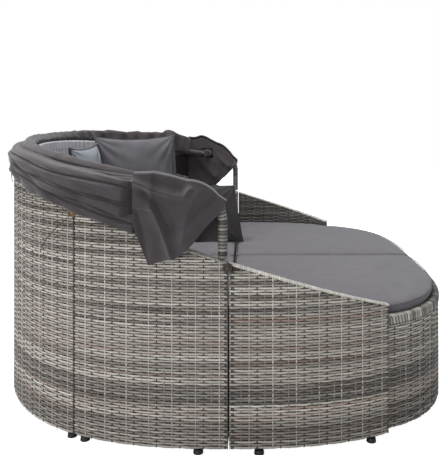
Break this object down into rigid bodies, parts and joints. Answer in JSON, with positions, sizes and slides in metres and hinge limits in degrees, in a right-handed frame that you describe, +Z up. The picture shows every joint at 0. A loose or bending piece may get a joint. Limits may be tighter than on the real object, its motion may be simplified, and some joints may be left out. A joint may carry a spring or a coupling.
{
  "type": "outdoor daybed",
  "caption": "Round outdoor daybed of woven rattan in two sections, with seat cushions, pillows, arm loops and a cloth canopy on three hinged bows folded round the back.",
  "frame": {"origin": "on the floor, under the middle of the overall length and width", "axes": "+X towards the foot end (the low front section), +Y towards the left-hand arm loop as seen by someone who sits with their back to the back wall, +Z up"},
  "size_m": [1.714, 1.8508, 0.9625],
  "materials": {
    "rattan": "woven flat rattan strands of polyethylene, grey mix",
    "frame_steel": "powder-coated steel tube",
    "bow_tube": "aluminium tube",
    "bolt": "stainless steel",
    "glide": "moulded black polyethylene",
    "deck": "stained plywood",
    "cushion_cloth": "dark grey outdoor cloth over foam",
    "canopy_cloth": "dark grey polyester canopy cloth",
    "light_cloth": "light blue-grey outdoor cloth over foam",
    "dark_cloth": "dark brown-grey outdoor cloth",
    "tie_string": "braided dark cord"
  },
  "bodies": {
    "sofa_section": {"back_weave": "rattan", "back_frame": "frame_steel", "seat_frame": "frame_steel", "seat_deck": "deck", "sofa_closing_panel": "rattan", "large_dark_pillow": "cushion_cloth", "light_pillow": "light_cloth", "small_light_pillow": "light_cloth", "flat_dark_pillow": "dark_cloth", "right_seam_tie_knot": "tie_string", "right_seam_tie_end": "tie_string", "back_tie_knot": "tie_string", "back_tie_end": "tie_string", "right_front_tie_knot": "tie_string", "right_front_tie_end": "tie_string", "lining": "canopy_cloth", "canopy_skirt": "canopy_cloth", "left_side_weave": "rattan", "left_side_frame": "frame_steel", "left_arm_loop": "rattan", "left_back_glide": "glide", "left_side_rear_glide": "glide", "left_side_front_glide": "glide", "left_seat_cushion": "cushion_cloth", "left_pivot_bracket": "frame_steel", "left_pivot_bolt": "bolt", "left_flap": "canopy_cloth", "right_side_weave": "rattan", "right_side_frame": "frame_steel", "right_arm_loop": "rattan", "right_back_glide": "glide", "right_side_rear_glide": "glide", "right_side_front_glide": "glide", "right_seat_cushion": "cushion_cloth", "right_pivot_bracket": "frame_steel", "right_pivot_bolt": "bolt", "right_flap": "canopy_cloth"},
    "rear_bow": {"rear_bow": "bow_tube", "canopy_rear_panel": "canopy_cloth"},
    "middle_bow": {"middle_bow": "bow_tube", "canopy_front_panel": "canopy_cloth"},
    "front_bow": {"front_bow": "bow_tube", "front_bow_sleeve": "canopy_cloth"},
    "front_section": {"front_skirt_weave": "rattan", "front_rim": "rattan", "front_frame": "frame_steel", "front_glide": "glide", "front_deck": "deck", "front_closing_panel": "rattan", "left_wing_weave": "rattan", "left_wing_frame": "frame_steel", "left_wing_rear_glide": "glide", "left_wing_front_glide": "glide", "left_front_cushion": "cushion_cloth", "right_wing_weave": "rattan", "right_wing_frame": "frame_steel", "right_wing_rear_glide": "glide", "right_wing_front_glide": "glide", "right_front_cushion": "cushion_cloth"}
  },
  "joints": [
    {"name": "rear_bow_hinge", "type": "hinge", "parent": "sofa_section", "child": "rear_bow", "pos_m": [-0.137, 0, 0.822], "axis": [0, 1, 0], "range_deg": [0, 20], "deforming": ["canopy_skirt"]},
    {"name": "middle_bow_hinge", "type": "hinge", "parent": "rear_bow", "child": "middle_bow", "pos_m": [-0.137, 0, 0.822], "axis": [0, 1, 0], "range_deg": [0, 43], "deforming": ["canopy_rear_panel"]},
    {"name": "front_bow_hinge", "type": "hinge", "parent": "middle_bow", "child": "front_bow", "pos_m": [-0.137, 0, 0.822], "axis": [0, 1, 0], "range_deg": [0, 32], "deforming": ["canopy_front_panel"]},
    {"name": "front_section_slide", "type": "slide", "parent": "sofa_section", "child": "front_section", "axis": [1, 0, 0], "range_m": [0, 0.4]}
  ],
  "couplings": [
    {"joint": "middle_bow_hinge", "follows": "rear_bow_hinge", "ratio": 2.14},
    {"joint": "front_bow_hinge", "follows": "rear_bow_hinge", "ratio": 1.59}
  ]
}
